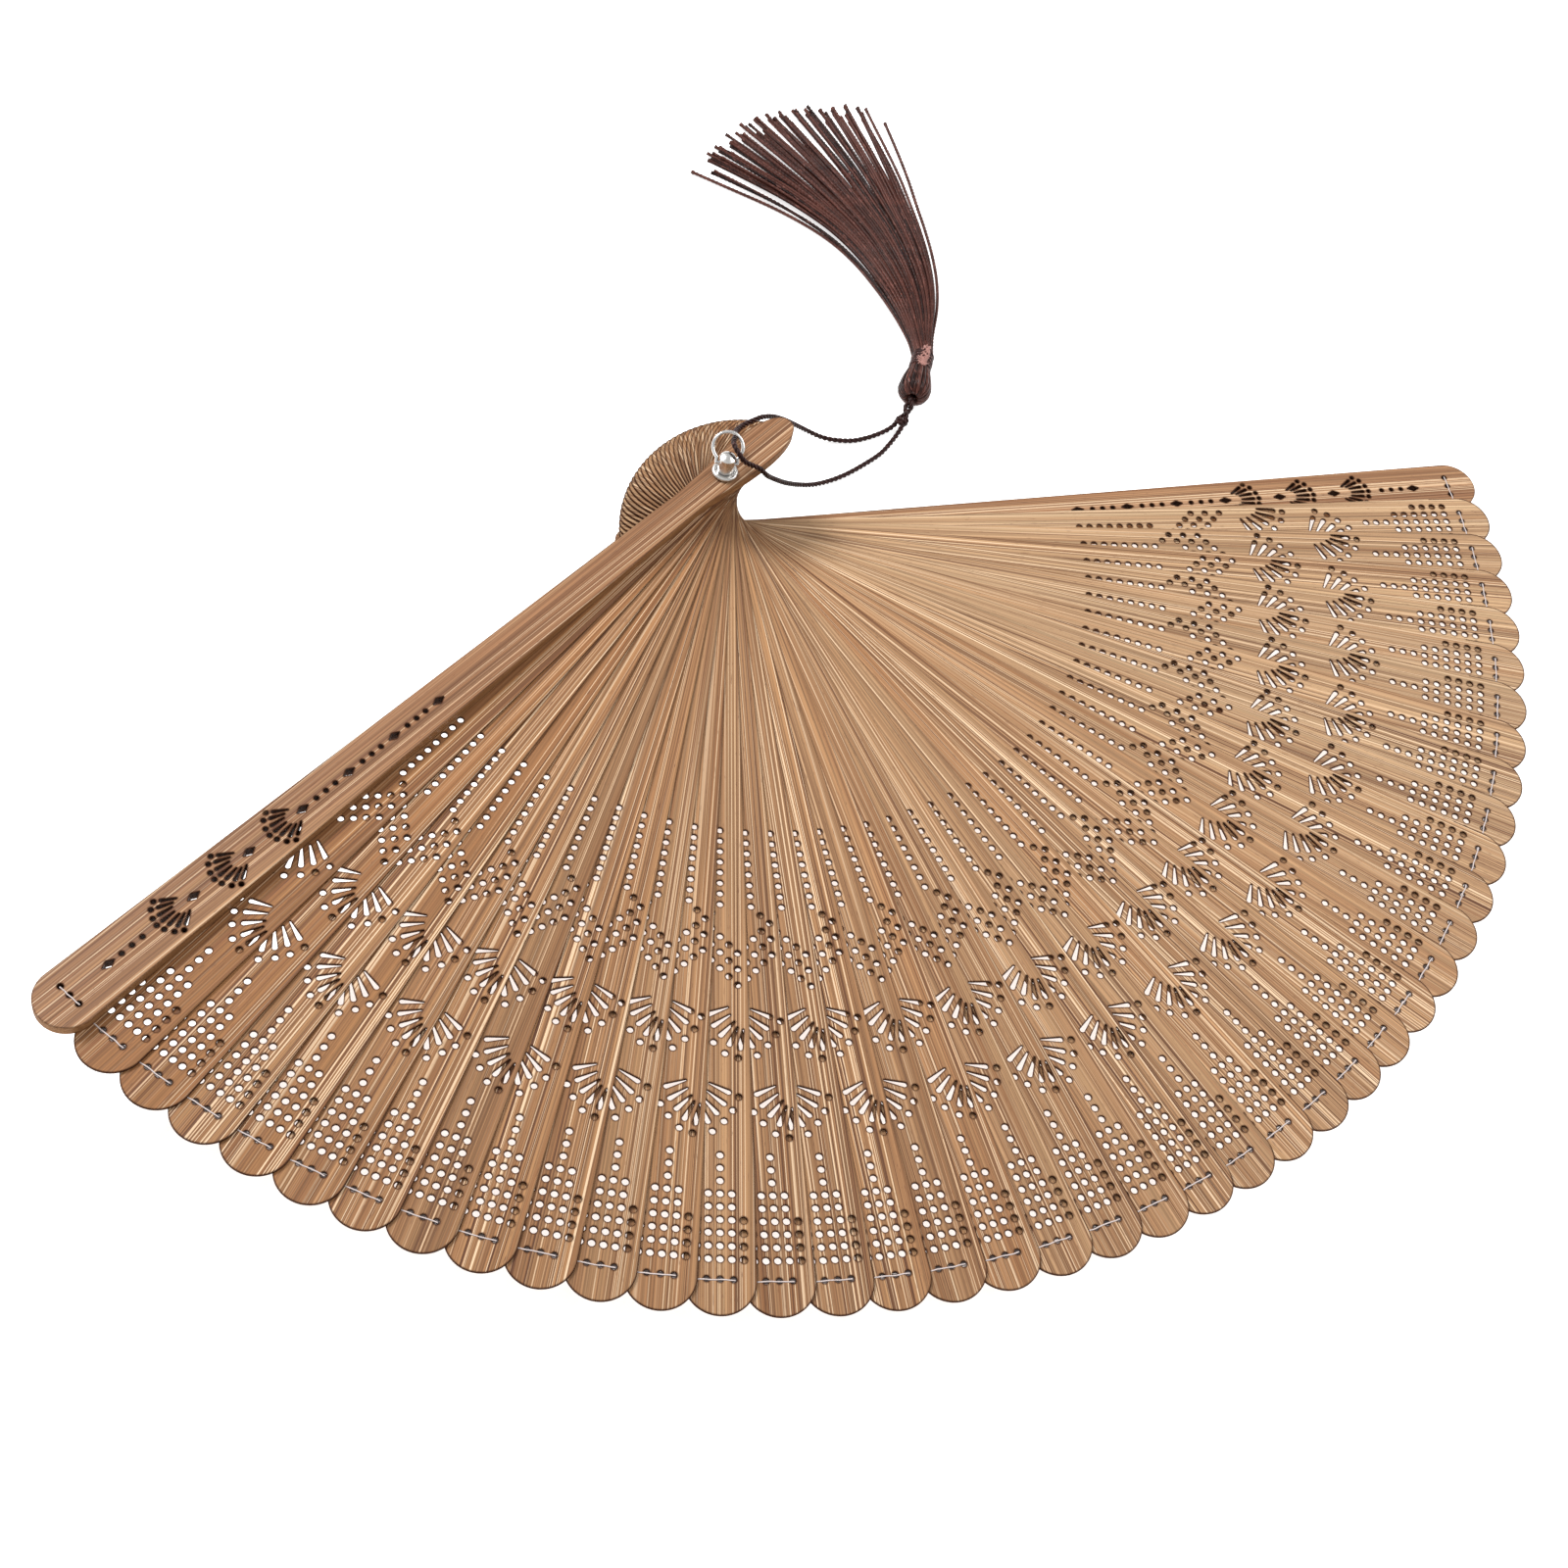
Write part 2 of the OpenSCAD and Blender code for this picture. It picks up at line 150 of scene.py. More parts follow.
def catmull(points, per_span):
    """A smooth curve through the points, with per_span places to each span."""
    p = np.array(points, float)
    p = np.vstack([p[0], p, p[-1]])
    t = (np.arange(per_span) / per_span)[:, None]
    spans = [
        (2 * b + (c - a) * t + (2 * a - 5 * b + 4 * c - d) * t**2 + (3 * b - a - 3 * c + d) * t**3) / 2
        for a, b, c, d in zip(p[:-3], p[1:-2], p[2:-1], p[3:])
    ]
    return np.vstack([*spans, p[-1]])


def evenly(curve, count):
    """The same curve as count points, an equal distance apart."""
    steps = np.linalg.norm(np.diff(curve, axis=0), axis=1)
    reached = np.concatenate([[0], np.cumsum(steps)])
    wanted = np.linspace(0, reached[-1], count)
    return np.column_stack([np.interp(wanted, reached, curve[:, i]) for i in range(curve.shape[1])])


def length_of(curve):
    """The length of a run of points."""
    return float(np.linalg.norm(np.diff(curve, axis=0), axis=1).sum())


def unit(v):
    """v, or each row of v, made one long."""
    return v / np.linalg.norm(v, axis=-1, keepdims=True)


def carried_frames(path):
    """Two directions across each point of a path, carried along it so that they never twist."""
    heading = unit(np.gradient(path, axis=0))
    start = np.array((0, 0, 1.0)) if abs(heading[0][2]) < 0.9 else np.array((1.0, 0, 0))
    ups = []
    for h in heading:
        last = ups[-1] if ups else start
        ups.append(unit(last - (last @ h) * h))
    ups = np.array(ups)
    return ups, np.cross(heading, ups)


class Tubes:
    """Collects closed tubes into one mesh, with a yarn attribute that fibres can follow."""

    def __init__(self):
        self.points, self.faces, self.yarn, self.tone = [], [], [], []
        self.count = 0

    def add(self, path, radius, sides=8, fibre_pitch=2 * MM, tone=0.5, oval=0.0, oval_pitch=3 * MM):
        """A tube along path. oval makes its section an oval that turns once in oval_pitch."""
        path = np.array(path, float)
        rings = len(path)
        up, side = carried_frames(path)
        along = np.concatenate([[0], np.cumsum(np.linalg.norm(np.diff(path, axis=0), axis=1))])
        around = np.arange(sides) * 2 * math.pi / sides
        turned = around[None, :] + (2 * math.pi * along / oval_pitch)[:, None] * bool(oval)
        across = (1 - oval * np.sin(around) ** 2)[None, :] * np.broadcast_to(radius, rings)[:, None]
        ring = up[:, None] * np.cos(turned)[..., None] + side[:, None] * np.sin(turned)[..., None]
        points = path[:, None] + across[..., None] * ring
        phase = around[None, :] + (2 * math.pi * along / fibre_pitch)[:, None]
        reached = np.broadcast_to(along[:, None] / MM, phase.shape)
        yarn = np.stack([np.cos(phase), np.sin(phase), reached], -1)
        a = np.arange(rings - 1)[:, None] * sides + np.arange(sides)
        b = np.arange(rings - 1)[:, None] * sides + (np.arange(sides) + 1) % sides
        walls = np.stack([a, b, b + sides, a + sides], -1).reshape(-1, 4) + self.count
        first = self.count + np.arange(sides)
        self.points.append(points.reshape(-1, 3))
        self.yarn.append(yarn.reshape(-1, 3))
        self.tone.append(np.full(rings * sides, tone))
        self.faces += walls.tolist() + [first[::-1].tolist(), (first + (rings - 1) * sides).tolist()]
        self.count += rings * sides

    def piece(self, name, material):
        """One object made of all the tubes."""
        mesh = bpy.data.meshes.new(name)
        mesh.from_pydata(np.vstack(self.points).tolist(), [], self.faces)
        yarn = mesh.attributes.new("yarn", "FLOAT_VECTOR", "POINT")
        yarn.data.foreach_set("vector", np.vstack(self.yarn).astype(np.float32).ravel())
        tone = mesh.attributes.new("tone", "FLOAT", "POINT")
        tone.data.foreach_set("value", np.concatenate(self.tone).astype(np.float32))
        mesh.shade_smooth()
        mesh.materials.append(material)
        made = bpy.data.objects.new(name, mesh)
        bpy.context.scene.collection.objects.link(made)
        return made


def add_rope(tubes, path, diameter, pitch, plies=2):
    """Plies that twist round each other along path, together about as thick as diameter."""
    up, side = carried_frames(path)
    along = np.concatenate([[0], np.cumsum(np.linalg.norm(np.diff(path, axis=0), axis=1))])
    for ply in range(plies):
        turn = (2 * math.pi * (along / pitch + ply / plies))[:, None]
        offset = diameter * PLY_OUT * (np.cos(turn) * up + np.sin(turn) * side)
        tubes.add(path + offset, diameter * PLY_R, fibre_pitch=-pitch * 0.6)


# ---- Materials ----

def add_node(tree, kind, inputs=None, **settings):
    """A new node. inputs maps a socket's name or number to a value or to another node's output."""
    made = tree.nodes.new(kind)
    for name, value in settings.items():
        setattr(made, name, value)
    for name, value in (inputs or {}).items():
        if isinstance(value, bpy.types.NodeSocket):
            tree.links.new(value, made.inputs[name])
        else:
            made.inputs[name].default_value = value
    return made


def new_material(name):
    """A material, its node tree and its Principled node, joined to the output."""
    material = bpy.data.materials.new(name)
    material.use_nodes = True
    tree = material.node_tree
    tree.nodes.clear()
    shader = add_node(tree, "ShaderNodeBsdfPrincipled")
    add_node(tree, "ShaderNodeOutputMaterial", {"Surface": shader.outputs[0]})
    return material, tree, shader


def scaled(tree, vector, scale):
    """vector, stretched by scale along each axis."""
    return add_node(tree, "ShaderNodeVectorMath", {0: vector, 1: scale}, operation="MULTIPLY").outputs[0]


def noise(tree, vector, seed, detail=2.0, roughness=0.5):
    """Noise from 0 to 1, mostly near a half, that differs with each seed."""
    made = add_node(
        tree, "ShaderNodeTexNoise",
        {"Vector": vector, "W": seed, "Scale": 1.0, "Detail": detail, "Roughness": roughness},
        noise_dimensions="4D",
    )
    return made.outputs["Fac"]


def between(tree, value, low, high, to_low=0.0, to_high=1.0):
    """value from low to high, smoothly made to run from to_low to to_high."""
    made = add_node(tree, "ShaderNodeMapRange", {"Value": value}, interpolation_type="SMOOTHSTEP")
    for name, number in (("From Min", low), ("From Max", high), ("To Min", to_low), ("To Max", to_high)):
        made.inputs[name].default_value = number
    return made.outputs["Result"]


def calc(tree, operation, a, b=0.0):
    """One step of arithmetic on numbers or outputs."""
    return add_node(tree, "ShaderNodeMath", {0: a, 1: b}, operation=operation).outputs[0]


def mixed(tree, factor, a, b, blend="MIX"):
    """Colour a mixed with colour b."""
    made = add_node(tree, "ShaderNodeMix", data_type="RGBA", blend_type=blend)
    for socket, value in (("Factor_Float", factor), ("A_Color", a), ("B_Color", b)):
        target = next(s for s in made.inputs if s.identifier == socket)
        if isinstance(value, bpy.types.NodeSocket):
            tree.links.new(value, target)
        elif isinstance(value, tuple):
            target.default_value = (*value, 1)
        else:
            target.default_value = value
    return next(s for s in made.outputs if s.identifier == "Result_Color")


def ramp(tree, value, stops):
    """Colours that value runs through: stops are (place, colour)."""
    made = add_node(tree, "ShaderNodeValToRGB", {"Fac": value})
    elements = made.color_ramp.elements
    while len(elements) < len(stops):
        elements.new(0.5)
    for element, (place, colour) in zip(elements, stops):
        element.position = place
        element.color = (*colour, 1)
    return made.outputs["Color"]


def bumped(tree, shader, height, strength, distance, normal=None):
    """Gives the shader a bump of that height, on top of normal where there is one."""
    made = add_node(tree, "ShaderNodeBump", {"Height": height, "Strength": strength, "Distance": distance})
    if normal is not None:
        tree.links.new(normal, made.inputs["Normal"])
    tree.links.new(made.outputs[0], shader.inputs["Normal"])


def bamboo(name, angle, seed, tones, line_amount, edge_radius, taper, sanded_edge=False):
    """Planed bamboo whose fibres run along a stick that is turned by angle about the pivot.

    tones are its dark, middle and light colours, and taper gives the stick's half width at two places.
    Its cut walls and the rims of its holes are scorched, its long edges less, and with sanded_edge
    the whole of the stick's outline is clean.
    """
    material, tree, shader = new_material(name)
    place = add_node(tree, "ShaderNodeTexCoord")
    stick = add_node(
        tree, "ShaderNodeMapping", {"Vector": place.outputs["Object"], "Rotation": (0, 0, angle)}
    ).outputs[0]
    colour, streaks, fibres, dark = bamboo_grain(tree, stick, seed, tones, line_amount)
    colour, charred = scorched(tree, stick, place.outputs["Normal"], colour, fibres, taper, sanded_edge)
    tree.links.new(colour, shader.inputs["Base Color"])
    gloss = calc(tree, "SUBTRACT", 1.0, calc(tree, "MULTIPLY", charred, 0.8))
    tree.links.new(calc(tree, "MULTIPLY", gloss, 0.28), shader.inputs["Specular IOR Level"])
    tree.links.new(between(tree, streaks, 0.3, 0.7, 0.48, 0.66), shader.inputs["Roughness"])
    height = calc(tree, "ADD", fibres, calc(tree, "MULTIPLY", dark, -0.8))
    rounded = add_node(tree, "ShaderNodeBevel", {"Radius": edge_radius}, samples=4).outputs[0]
    bumped(tree, shader, height, 0.4, 0.06 * MM, rounded)
    return material


def bamboo_grain(tree, stick, seed, tones, line_amount):
    """The colour of planed bamboo, and the noises of its streaks, its fibres and its dark lines."""
    bands = noise(tree, scaled(tree, stick, (5, 260, 150)), seed, detail=1.0)
    streaks = noise(tree, scaled(tree, stick, (7, 1100, 700)), seed + 3.1, detail=2.0)
    fibres = noise(tree, scaled(tree, stick, (14, 3600, 2500)), seed + 5.7, detail=3.0, roughness=0.65)
    pale = noise(tree, scaled(tree, stick, (3, 3900, 900)), seed + 11.3, detail=0.0)
    dark = noise(tree, scaled(tree, stick, (4, 3700, 900)), seed + 17.9, detail=0.0)
    dense = noise(tree, scaled(tree, stick, (4, 420, 150)), seed + 23.3, detail=1.0)
    pores = noise(tree, scaled(tree, stick, (380, 5200, 3000)), seed + 31.7, detail=1.0)

    tone = calc(tree, "ADD", calc(tree, "MULTIPLY", bands, 0.4), calc(tree, "MULTIPLY", streaks, 0.6))
    colour = ramp(tree, tone, [(0.34, tones[0]), (0.5, tones[1]), (0.66, tones[2])])
    grain = between(tree, fibres, 0.3, 0.7, 0.62, 1.3)
    colour = mixed(tree, 1.0, colour, grain, "MULTIPLY")
    crowd = between(tree, dense, 0.38, 0.54, 0.12, 1.0)
    dark_line = calc(tree, "MULTIPLY", between(tree, dark, 0.56, 0.64, 0, line_amount), crowd)
    colour = mixed(tree, dark_line, colour, DARK_LINE)
    pale_line = calc(tree, "MULTIPLY", between(tree, pale, 0.58, 0.66, 0, line_amount), crowd)
    colour = mixed(tree, pale_line, colour, PALE_LINE)
    colour = mixed(tree, between(tree, pores, 0.66, 0.74, 0, 0.6), colour, PORE)
    return colour, streaks, fibres, dark


def scorched(tree, stick, normal, colour, fibres, taper, sanded_edge):
    """colour with the burns of the cutting added, and how charred each place is, from 0 to 1."""
    near_edge = add_node(
        tree, "ShaderNodeAmbientOcclusion", {"Distance": SCORCH_W}, inside=True, only_local=True, samples=6
    ).outputs["AO"]
    scorch = between(tree, near_edge, 0.66, 0.98, 0.97, 0.0)
    upright = add_node(tree, "ShaderNodeSeparateXYZ", {0: normal}).outputs["Z"]
    wall = between(tree, calc(tree, "ABSOLUTE", upright), 0.3, 0.7, 1.0, 0.0)
    burnt = ramp(tree, fibres, [(0.35, BURNT_WALL[0]), (0.65, BURNT_WALL[1])])
    rim = outline_mask(tree, stick, taper, sanded_edge)
    clean = calc(tree, "MULTIPLY", rim, 0.6 if sanded_edge else 0.75)
    scorch = calc(tree, "MULTIPLY", scorch, calc(tree, "SUBTRACT", 1.0, clean))
    sawn_tones = SANDED_WALL if sanded_edge else SAWN_WALL
    sawn = ramp(tree, fibres, [(0.35, sawn_tones[0]), (0.65, sawn_tones[1])])
    burnt = mixed(tree, rim, burnt, sawn)
    colour = mixed(tree, scorch, colour, SCORCH)
    return mixed(tree, wall, colour, burnt), calc(tree, "MAXIMUM", scorch, wall)


def outline_mask(tree, stick, taper, ends):
    """1 near a stick's long edges and 0 around its holes, and 1 at its ends too if ends is true."""
    axes = add_node(tree, "ShaderNodeSeparateXYZ", {0: stick})
    off_middle = calc(tree, "ABSOLUTE", axes.outputs["Y"])
    (near, near_half), (far, far_half) = taper
    half_width = add_node(
        tree, "ShaderNodeMapRange", {"Value": axes.outputs["X"], 1: near, 2: far, 3: near_half, 4: far_half}
    ).outputs["Result"]
    sides = calc(tree, "GREATER_THAN", calc(tree, "SUBTRACT", off_middle, half_width), -EDGE_STRIP)
    head = calc(tree, "LESS_THAN", axes.outputs["X"], HEAD_FROM)
    tip = calc(tree, "GREATER_THAN", axes.outputs["X"], far + TIP_MARGIN)
    if ends:
        return calc(tree, "MAXIMUM", calc(tree, "MAXIMUM", sides, head), tip)
    return calc(tree, "MULTIPLY", sides, calc(tree, "SUBTRACT", 1.0, calc(tree, "MAXIMUM", head, tip)))


def polished_metal(name, colour, roughness):
    """Plated wire or turned metal with fine scratches, a slightly uneven polish and painted shade in its
    recesses.
    """
    material, tree, shader = new_material(name)
    place = add_node(tree, "ShaderNodeTexCoord").outputs["Object"]
    scratches = noise(tree, scaled(tree, place, (900, 900, 9000)), 1.0, detail=3.0)
    smudges = noise(tree, scaled(tree, place, (500, 500, 500)), 4.0, detail=2.0)
    shade = ramp(tree, smudges, [(0.3, tuple(c * 0.82 for c in colour)), (0.7, colour)])
    # Painted shade: the base colour darkens to near black where other surfaces lie within 1.2 mm, as in
    # recesses
    openness_for_painted_shade = add_node(tree, "ShaderNodeAmbientOcclusion", {"Distance": 1.2 * MM}, samples=8).outputs["AO"]
    shade = mixed(tree, between(tree, openness_for_painted_shade, 0.35, 0.85, 0.9, 0.0), shade, (0.05, 0.045, 0.045))
    tree.links.new(shade, shader.inputs["Base Color"])
    tree.links.new(between(tree, smudges, 0.3, 0.7, roughness, roughness * 1.7), shader.inputs["Roughness"])
    bumped(tree, shader, scratches, 0.12, 0.02 * MM)
    shader.inputs["Metallic"].default_value = 1.0
    return material


def silk(name, dark, light, sheen, groove):
    """Lustrous thread: fibres and two grooves wind round each yarn, and each has its own tone, with painted
    shade in the grooves and painted highlights as pale glints along the yarns.
    """
    material, tree, shader = new_material(name)
    yarn = add_node(tree, "ShaderNodeAttribute", attribute_name="yarn").outputs["Vector"]
    tone = add_node(tree, "ShaderNodeAttribute", attribute_name="tone").outputs["Fac"]
    apart = calc(tree, "MULTIPLY", tone, 90.0)
    shifted = add_node(tree, "ShaderNodeVectorMath", {0: yarn, 1: apart}, operation="ADD").outputs[0]
    fibres = noise(tree, scaled(tree, yarn, (2.2, 2.2, 0.25)), 2.0, detail=3.0, roughness=0.7)
    slubs = noise(tree, scaled(tree, yarn, (0.4, 0.4, 0.5)), 7.0, detail=1.0)
    mix = calc(tree, "ADD", calc(tree, "MULTIPLY", fibres, 0.6), calc(tree, "MULTIPLY", slubs, 0.15))
    mix = calc(tree, "ADD", mix, calc(tree, "MULTIPLY", tone, 0.25))
    colour = ramp(tree, mix, [(0.36, dark), (0.66, light)])
    # Painted highlights: pale glints mixed into the base colour, in dashes that differ from yarn to yarn
    painted_glint_noise = noise(tree, scaled(tree, shifted, (0.9, 0.9, 0.5)), 13.0, detail=1.0)
    painted_glint_colour = tuple(2.6 * c + 0.035 for c in light)
    colour = mixed(tree, between(tree, painted_glint_noise, 0.6, 0.7, 0, 0.45), colour, painted_glint_colour)
    round_it = calc(tree, "ABSOLUTE", add_node(tree, "ShaderNodeSeparateXYZ", {0: yarn}).outputs["X"])
    dip = between(tree, round_it, 0.75, 0.98)
    groove_bump_and_shade = calc(tree, "MULTIPLY", dip, groove)
    # Painted shade: the colour darkens towards a third of the dark tone along the grooves, which also dip
    # in the bump
    colour = mixed(tree, groove_bump_and_shade, colour, tuple(c * 0.3 for c in dark))
    tree.links.new(colour, shader.inputs["Base Color"])
    tree.links.new(between(tree, fibres, 0.3, 0.7, 0.3, 0.5), shader.inputs["Roughness"])
    bumped(tree, shader, calc(tree, "SUBTRACT", fibres, groove_bump_and_shade), 0.5, 0.06 * MM)
    shader.inputs["Specular IOR Level"].default_value = 0.2
    shader.inputs["Sheen Weight"].default_value = sheen
    shader.inputs["Sheen Roughness"].default_value = 0.35
    shader.inputs["Sheen Tint"].default_value = (0.95, 0.75, 0.68, 1)
    return material


def white_thread(name):
    """Fine pale joining thread, with painted shade: near black where its tone is low, as on the folds down
    in the holes.
    """
    material, tree, shader = new_material(name)
    yarn = add_node(tree, "ShaderNodeAttribute", attribute_name="yarn").outputs["Vector"]
    fibres = noise(tree, scaled(tree, yarn, (1.8, 1.8, 0.5)), 5.0, detail=2.0)
    tone = add_node(tree, "ShaderNodeAttribute", attribute_name="tone").outputs["Fac"]
    colour = ramp(tree, fibres, [(0.3, (0.5, 0.38, 0.35)), (0.65, (0.82, 0.72, 0.69))])
    # Painted shade: a low tone turns the thread near black, for the shade down in the holes
    colour = mixed(tree, between(tree, tone, 0.1, 0.6, 0.95, 0.0), colour, (0.03, 0.013, 0.009))
    tree.links.new(colour, shader.inputs["Base Color"])
    bumped(tree, shader, fibres, 0.4, 0.02 * MM)
    shader.inputs["Roughness"].default_value = 0.5
    shader.inputs["Sheen Weight"].default_value = 0.3
    return material


def studio_floor(name):
    """Smooth pale paper, lit from behind as on a light table, so that it stays pale under the fan."""
    material, tree, shader = new_material(name)
    place = add_node(tree, "ShaderNodeTexCoord").outputs["Object"]
    mottle = noise(tree, scaled(tree, place, (30, 30, 30)), 0.0)
    colour = ramp(tree, mottle, [(0.3, (0.93, 0.93, 0.93)), (0.7, (0.95, 0.95, 0.95))])
    tree.links.new(colour, shader.inputs["Base Color"])
    shader.inputs["Roughness"].default_value = 0.9
    shader.inputs["Specular IOR Level"].default_value = 0.1
    shader.inputs["Emission Color"].default_value = (1, 1, 1, 1)
    shader.inputs["Emission Strength"].default_value = 0.7
    return material


# ---- Camera, floor and light ----

def make_camera():
    """The view of the photograph: from above the lower left of the fan, turned to the right."""
    data = bpy.data.cameras.new("camera")
    data.lens = CAMERA_LENS
    data.clip_start = 0.01
    camera = bpy.data.objects.new("camera", data)
    bpy.context.scene.collection.objects.link(camera)
    level = (CAMERA_AIM - CAMERA_AT).to_track_quat("-Z", "Y")
    camera.matrix_world = Matrix.LocRotScale(CAMERA_AT, level @ Quaternion((0, 0, 1), CAMERA_ROLL), None)
    bpy.context.scene.camera = camera


def make_floor():
    """A wide sheet of pale paper under the fan."""
    half = 3.0
    mesh = bpy.data.meshes.new("floor")
    corners = [(-half, -half, 0), (half, -half, 0), (half, half, 0), (-half, half, 0)]
    mesh.from_pydata(corners, [], [(0, 1, 2, 3)])
    mesh.materials.append(studio_floor("floor_paper"))
    floor = bpy.data.objects.new("floor", mesh)
    bpy.context.scene.collection.objects.link(floor)


def add_softbox(name, at, size, energy):
    """A square area light that faces the middle of the fan."""
    data = bpy.data.lights.new(name, "AREA")
    data.size = size
    data.energy = energy
    lamp = bpy.data.objects.new(name, data)
    bpy.context.scene.collection.objects.link(lamp)
    facing = (FAN_MIDDLE - Vector(at)).to_track_quat("-Z", "Y")
    lamp.matrix_world = Matrix.LocRotScale(Vector(at), facing, None)


def light_scene():
    """Soft light from a pale sky, a key light behind the fan and a fill light on its right."""
    world = bpy.data.worlds.new("studio")
    world.use_nodes = True
    tree = world.node_tree
    heading = add_node(tree, "ShaderNodeTexCoord").outputs["Generated"]
    height = add_node(tree, "ShaderNodeSeparateXYZ", {0: heading}).outputs["Z"]
    sky = ramp(tree, height, [(0.0, (0.12, 0.12, 0.12)), (0.25, (0.3, 0.3, 0.3)), (0.55, (1, 1, 1))])
    tree.links.new(sky, tree.nodes["Background"].inputs["Color"])
    tree.nodes["Background"].inputs["Strength"].default_value = 0.6
    bpy.context.scene.world = world
    add_softbox("key", (-0.5, 0.7, 0.9), 0.4, 14)
    add_softbox("fill", (0.9, 0.1, 0.8), 0.8, 6)
    bpy.context.scene.view_settings.view_transform = "Standard"


# ---- Cord ----

def wind_ends(path, reach, turns):
    """Winds the loop's two ends round each other along the stretch from the knot to the crown."""
    count = round(reach / length_of(path) * len(path))
    near, far = path[:count], path[::-1][:count]
    middle = (near + far) / 2
    apart = (near - far) / 2
    half_gap = np.linalg.norm(apart, axis=1)
    loosened = np.clip(np.linspace(-4, 1, count), 0, 1)
    apart *= (loosened + (1 - loosened) * CORD_D * 0.5 / half_gap)[:, None]
    beside = np.cross(unit(np.gradient(middle, axis=0)), apart)
    turn = (2 * math.pi * turns * (1 - np.arange(count) / (count - 1)))[:, None]
    swung = apart * np.cos(turn) + beside * np.sin(turn)
    wound = path.copy()
    wound[:count] = middle + swung
    wound[len(path) - count:] = (middle - swung)[::-1]
    return wound


def make_cord(material):
    """The loop of twisted silk cord, from the tassel's crown through the ring and back."""
    curve = catmull(np.array(CORD_ROUTE) * MM, 12)
    rings = round(length_of(curve) / CORD_PITCH * 12)
    path = wind_ends(evenly(curve, rings), TWIST_REACH, TWIST_TURNS)
    length = length_of(path)
    tubes = Tubes()
    add_rope(tubes, path, CORD_D, CORD_PITCH)
    cord = tubes.piece("cord_loop", material)
    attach(cord, "root")
    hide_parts("tassel_cord")
    return cord, path, length


def axes_along(yaw, rise):
    """Three directions: the one with that yaw and rise, the one to its side, and the one up from it."""
    along = Vector((math.cos(yaw) * math.cos(rise), math.sin(yaw) * math.cos(rise), math.sin(rise)))
    side = along.cross(Vector((0, 0, 1))).normalized()
    return along, side, side.cross(along)


def make_knot(material):
    """A small knot: the cord wound round both strands, where the loop closes."""
    along, side, up = axes_along(KNOT_YAW, KNOT_RISE)
    turns = 2.2
    half_l = 0.95 * MM
    reach = (1.25 * MM, 0.9 * MM)
    path = []
    for i in range(90):
        f = i / 89
        angle = 2 * math.pi * turns * f
        tuck = 1 - 0.45 * max(0, 1 - 8 * min(f, 1 - f)) ** 2
        path.append(
            KNOT_AT + along * half_l * (2 * f - 1)
            + side * reach[0] * tuck * math.cos(angle) + up * reach[1] * tuck * math.sin(angle)
        )
    tubes = Tubes()
    add_rope(tubes, evenly(np.array(path), 150), CORD_D * 0.85, CORD_PITCH * 0.8)
    knot = tubes.piece("knot_wraps", material)
    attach(knot, "root")
    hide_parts("cord_knot")
    return knot


# ---- Tassel ----

def head_radius(f):
    """The radius of the tassel's head at a part f of its length from the crown."""
    return float(np.interp(f, [place for place, _ in HEAD_PROFILE], [radius for _, radius in HEAD_PROFILE]))


def make_head(material):
    """Yarns that turn over the crown, run down over a hidden core, and gather at the binding."""
    along, side, up = axes_along(TASSEL_YAW, -TASSEL_DIP)
    rng = random.Random(12)
    tubes = Tubes()
    yarns = 24
    for j in range(yarns):
        turn = 2 * math.pi * j / yarns
        lift = rng.uniform(-0.12, 0.16) * MM
        drift = rng.uniform(-0.09, 0.09)
        route = [(2.4 * MM, 0.8 * MM), (1.2 * MM, 1.0 * MM), (0.35 * MM + lift, 1.5 * MM)]
        for f, radius in HEAD_PROFILE:
            route.append((HEAD_L * f, radius - 0.4 * MM + lift * math.sin(math.pi * f)))
        route.append((HEAD_L + 1.2 * MM, BINDING_R - 0.7 * MM))
        path = []
        for i, (x, r) in enumerate(route):
            part = i / len(route)
            angle = turn + drift * math.sin(2.4 * part * math.pi) + 0.12 * part
            path.append(CROWN + along * x + side * r * math.cos(angle) + up * r * math.sin(angle))
        path = evenly(catmull(np.array(path), 10), 80)
        f = np.linspace(0, 1, 80)
        radius = (0.34 + 0.18 * np.sin(math.pi * np.clip(f * 1.15, 0, 1)) ** 0.6) * MM
        tubes.add(path, radius, 8, fibre_pitch=5 * MM, tone=rng.random())
    core = np.array([CROWN + along * HEAD_L * f for f in np.linspace(0.12, 1, 24)])
    core_r = np.array([max(head_radius(f) - 0.65 * MM, 0.2 * MM) for f in np.linspace(0.12, 1, 24)])
    tubes.add(core, core_r, 24, tone=0.0)
    head = tubes.piece("tassel_yarns", material)
    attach(head, "root")
    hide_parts("tassel_head")
    return head


